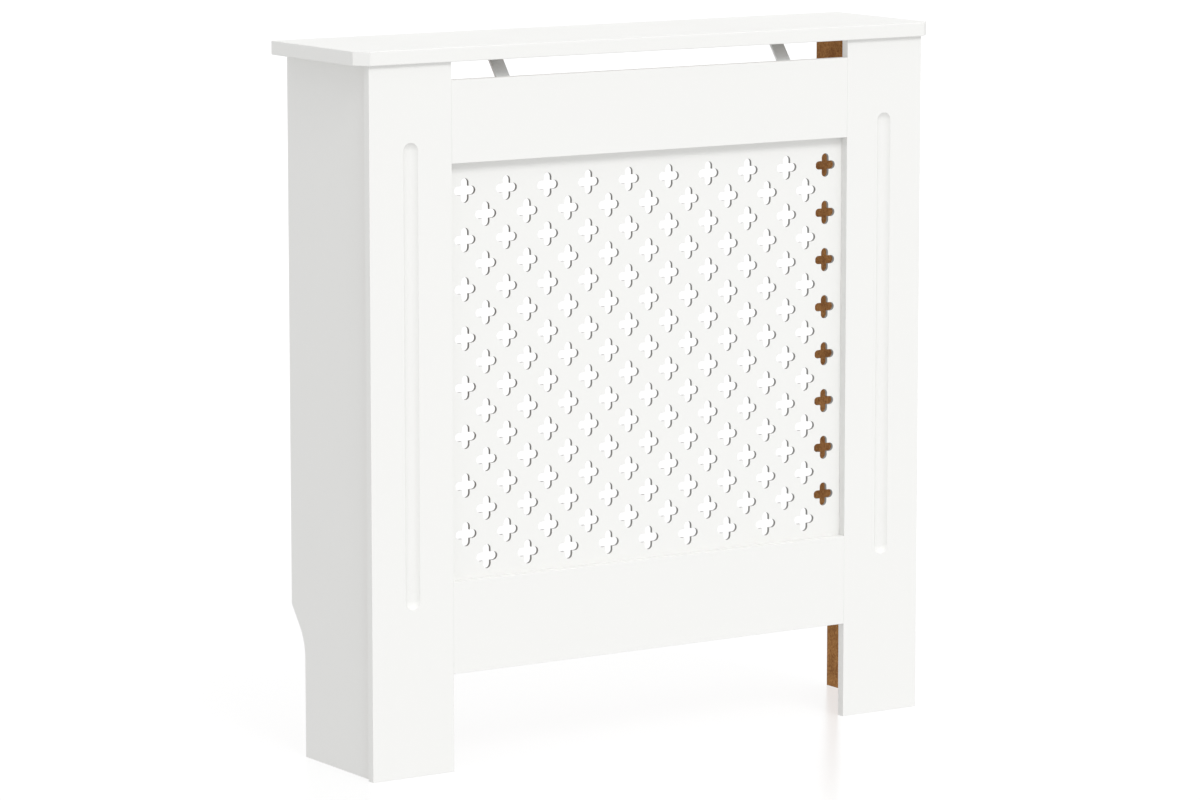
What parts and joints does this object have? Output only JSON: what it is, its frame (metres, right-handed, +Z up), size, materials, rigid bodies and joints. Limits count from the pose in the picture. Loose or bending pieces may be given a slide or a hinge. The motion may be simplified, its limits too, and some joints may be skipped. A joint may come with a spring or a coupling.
{
  "type": "radiator cover cabinet",
  "caption": "Free-standing cabinet that hides a wall radiator: a shelf on two side panels, a framed front with a pierced quatrefoil grille and fluted posts, open at the back and bottom.",
  "frame": {"origin": "on the floor, under the middle of the shelf, at the bottom centre of the bounding box", "axes": "+X to the right as seen from the front, +Y from the front back towards the wall, +Z up"},
  "size_m": [0.78, 0.192, 0.815],
  "materials": {
    "painted_board": "medium-density fibreboard sprayed satin white on its fronts and edges, bare brown fibreboard behind",
    "beech": "bare turned beech, unvarnished",
    "zinc_plated_steel": "pressed or turned mild steel with a dull bright zinc plating",
    "zinc_alloy": "die-cast zinc alloy, as cast"
  },
  "bodies": {
    "root": {"top_shelf": "painted_board", "side_panel_left": "painted_board", "side_panel_right": "painted_board", "post_left": "painted_board", "post_right": "painted_board", "top_rail": "painted_board", "bottom_rail": "painted_board", "grille_panel": "painted_board", "stay_left": "zinc_plated_steel", "stay_right": "zinc_plated_steel", "stay_screw_left_shelf": "zinc_plated_steel", "stay_screw_left_rail": "zinc_plated_steel", "stay_screw_right_shelf": "zinc_plated_steel", "stay_screw_right_rail": "zinc_plated_steel", "grille_screw_upper_left": "zinc_plated_steel", "grille_screw_middle_left": "zinc_plated_steel", "grille_screw_lower_left": "zinc_plated_steel", "grille_screw_upper_right": "zinc_plated_steel", "grille_screw_middle_right": "zinc_plated_steel", "grille_screw_lower_right": "zinc_plated_steel", "grille_screw_top": "zinc_plated_steel", "grille_screw_bottom": "zinc_plated_steel", "top_rail_dowel_left_lower": "beech", "top_rail_dowel_left_upper": "beech", "top_rail_dowel_right_lower": "beech", "top_rail_dowel_right_upper": "beech", "bottom_rail_dowel_left_lower": "beech", "bottom_rail_dowel_left_upper": "beech", "bottom_rail_dowel_right_lower": "beech", "bottom_rail_dowel_right_upper": "beech", "shelf_dowel_left": "beech", "shelf_dowel_right": "beech", "shelf_front_left_bolt": "zinc_plated_steel", "shelf_front_left_nut": "zinc_alloy", "shelf_front_right_bolt": "zinc_plated_steel", "shelf_front_right_nut": "zinc_alloy", "shelf_rear_left_bolt": "zinc_plated_steel", "shelf_rear_left_nut": "zinc_alloy", "shelf_rear_right_bolt": "zinc_plated_steel", "shelf_rear_right_nut": "zinc_alloy", "post_lower_left_bolt": "zinc_plated_steel", "post_lower_left_nut": "zinc_alloy", "post_lower_right_bolt": "zinc_plated_steel", "post_lower_right_nut": "zinc_alloy", "post_upper_left_bolt": "zinc_plated_steel", "post_upper_left_nut": "zinc_alloy", "post_upper_right_bolt": "zinc_plated_steel", "post_upper_right_nut": "zinc_alloy"}
  },
  "joints": []
}
